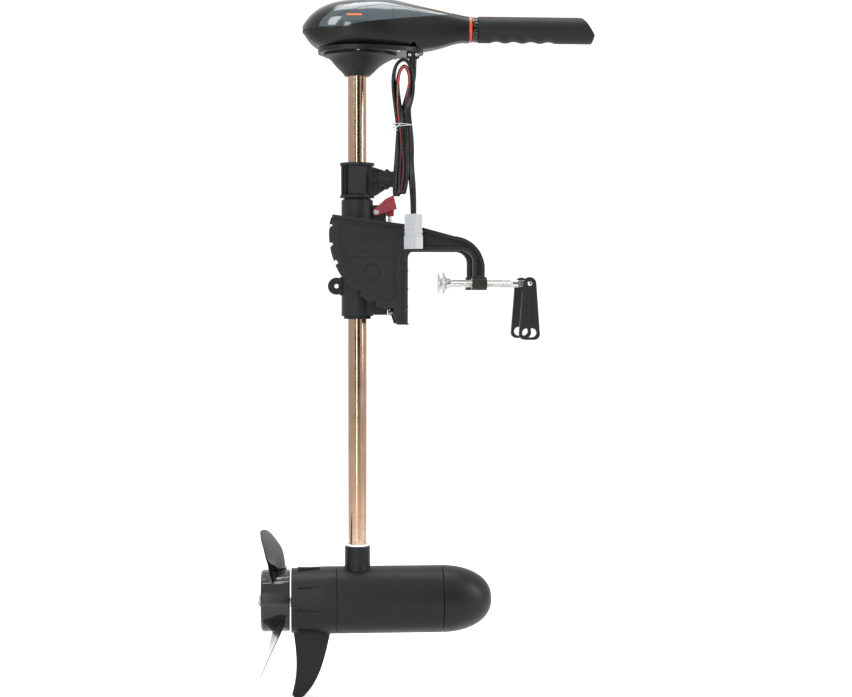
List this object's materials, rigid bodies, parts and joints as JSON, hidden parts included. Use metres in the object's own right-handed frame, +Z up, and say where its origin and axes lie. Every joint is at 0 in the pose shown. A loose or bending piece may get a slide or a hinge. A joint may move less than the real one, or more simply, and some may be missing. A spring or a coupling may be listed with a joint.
{
  "type": "trolling motor",
  "caption": "Electric trolling motor with transom clamp, tilting and steering shaft, tiller head, motor pod and propeller.",
  "frame": {"origin": "centre of the transom clamp face, midway between the clamp arms at the height of the clamp screws", "axes": "+X out of the clamp face, into the boat; +Y to the far side; +Z up along the shaft"},
  "size_m": [0.5205, 0.2174, 1.08],
  "materials": {
    "casting_black": "fine moulded grain, glass-filled nylon",
    "housing_black": "satin moulded, fine grain",
    "cover_black": "semi-gloss with a smoked display panel",
    "strip_copper": "metallic copper-orange strip",
    "ring_red": "moulded orange-red ring",
    "shaft_bronze": "polished bronze-coloured steel",
    "steel": "turned stainless",
    "brass": "machined",
    "copper": "bare copper",
    "lever_red": "satin moulded",
    "bush_black": "smooth acetal",
    "hub_gloss": "polished moulded",
    "pod_black": "satin powder coat",
    "grip_rubber": "soft fine grain",
    "cord_black": "twin cable, red stripe along one core",
    "tie_grey": "wire twist tie",
    "plug_grey": "moulded polycarbonate",
    "gasket_white": "moulded",
    "board_green": "solder-masked board",
    "magnet_grey": "ferrite and lamination grey"
  },
  "bodies": {
    "clamp": {"clamp_side_near": "casting_black", "clamp_side_far": "casting_black", "transom_plate": "casting_black", "plate_screws": "steel", "thread_inserts": "brass", "tilt_bolt": "steel"},
    "swivel": {"swivel_casting": "casting_black", "steering_bushes": "bush_black", "lever_pin": "steel", "lock_spring": "steel"},
    "lock": {"lock_rod": "steel", "lock_cap": "lever_red"},
    "lever": {"release_lever": "lever_red"},
    "collar": {"depth_collar": "casting_black", "collar_bolt": "steel", "thrust_washer": "bush_black"},
    "knob": {"depth_knob": "casting_black"},
    "mast": {"shaft_tube": "shaft_bronze", "motor_leads": "cord_black", "top_cover": "cover_black", "accent_strip": "strip_copper", "lower_housing": "housing_black", "head_base": "housing_black", "neck_ring": "ring_red", "cord_gland": "housing_black", "circuit_board": "board_green", "speed_switch": "housing_black", "housing_screws": "steel", "motor_housing": "pod_black", "motor_collar": "casting_black", "shaft_gasket": "gasket_white", "nose_cone": "pod_black", "rear_cap": "pod_black", "through_bolts": "steel", "field_magnets": "magnet_grey", "bearings": "steel", "brush_gear": "bush_black"},
    "tiller": {"tiller_tube": "bush_black", "tiller_collar": "hub_gloss"},
    "grip": {"tiller_grip": "grip_rubber", "throttle_rod": "steel"},
    "switch_rotor": {"speed_rotor": "bush_black"},
    "propeller": {"propeller": "hub_gloss", "prop_nut": "steel", "motor_shaft": "steel", "armature": "magnet_grey", "windings": "copper"},
    "lead": {"cord_upper": "cord_black", "cord_hank": "cord_black", "cord_lower": "cord_black", "cord_tie": "tie_grey", "plug_body": "plug_grey", "plug_contacts": "copper"},
    "near_pad": {"clamp_pad_near": "steel"},
    "near_screw": {"clamp_screw_near": "steel"},
    "near_handle": {"toggle_near": "casting_black"},
    "far_pad": {"clamp_pad_far": "steel"},
    "far_screw": {"clamp_screw_far": "steel"},
    "far_handle": {"toggle_far": "casting_black"}
  },
  "joints": [
    {"name": "tilt", "type": "hinge", "parent": "clamp", "child": "swivel", "pos_m": [0.006, 0, 0.078], "axis": [0, 1, 0], "range_deg": [0, 81]},
    {"name": "lock", "type": "slide", "parent": "swivel", "child": "lock", "axis": [0, 0, 1], "range_m": [0, 0.005], "deforming": ["lock_spring"]},
    {"name": "lever", "type": "hinge", "parent": "swivel", "child": "lever", "pos_m": [-0.046, 0, 0.1095], "axis": [0, 1, 0], "range_deg": [-13.1, 0]},
    {"name": "steer", "type": "hinge", "parent": "swivel", "child": "collar", "pos_m": [-0.075, 0, 0], "axis": [0, 0, 1], "range_deg": [-90, 90]},
    {"name": "collar_knob", "type": "hinge", "parent": "collar", "child": "knob", "pos_m": [-0.0305, 0, 0.159], "axis": [0, 1, 0], "range_deg": [-360, 360]},
    {"name": "depth", "type": "slide", "parent": "collar", "child": "mast", "axis": [0, 0, 1], "range_m": [-0.13, 0.345]},
    {"name": "tiller_extend", "type": "slide", "parent": "mast", "child": "tiller", "axis": [1, 0, 0], "range_m": [0, 0.08]},
    {"name": "throttle", "type": "hinge", "parent": "tiller", "child": "grip", "pos_m": [0, 0, 0.3912], "axis": [1, 0, 0], "range_deg": [-60, 100]},
    {"name": "switch_turn", "type": "hinge", "parent": "mast", "child": "switch_rotor", "pos_m": [0, 0, 0.3912], "axis": [1, 0, 0], "range_deg": [-60, 100]},
    {"name": "propeller_spin", "type": "hinge", "parent": "mast", "child": "propeller", "pos_m": [0, 0, -0.4903], "axis": [1, 0, 0], "continuous": true},
    {"name": "lead_turn", "type": "hinge", "parent": "mast", "child": "lead", "pos_m": [-0.075, 0, 0], "axis": [0, 0, 1], "range_deg": [-90, 90]},
    {"name": "near_clamp", "type": "slide", "parent": "clamp", "child": "near_pad", "axis": [-1, 0, 0], "range_m": [-0.028, 0.042]},
    {"name": "near_screw_turn", "type": "hinge", "parent": "near_pad", "child": "near_screw", "pos_m": [0, -0.05, 0], "axis": [-1, 0, 0], "range_deg": [-5761, 8641]},
    {"name": "near_handle_fold", "type": "hinge", "parent": "near_screw", "child": "near_handle", "pos_m": [0.186, -0.05, 0], "axis": [0, 1, 0], "range_deg": [-90, 30]},
    {"name": "far_clamp", "type": "slide", "parent": "clamp", "child": "far_pad", "axis": [-1, 0, 0], "range_m": [-0.028, 0.042]},
    {"name": "far_screw_turn", "type": "hinge", "parent": "far_pad", "child": "far_screw", "pos_m": [0, 0.05, 0], "axis": [-1, 0, 0], "range_deg": [-5761, 8641]},
    {"name": "far_handle_fold", "type": "hinge", "parent": "far_screw", "child": "far_handle", "pos_m": [0.186, 0.05, 0], "axis": [0, 1, 0], "range_deg": [-90, 30]}
  ],
  "couplings": [
    {"joint": "lever", "follows": "lock", "rad_per_m": -45.379},
    {"joint": "switch_turn", "follows": "throttle", "ratio": 1},
    {"joint": "lead_turn", "follows": "steer", "ratio": -1},
    {"joint": "near_screw_turn", "follows": "near_clamp", "rad_per_m": 3590.4},
    {"joint": "far_screw_turn", "follows": "far_clamp", "rad_per_m": 3590.4}
  ]
}
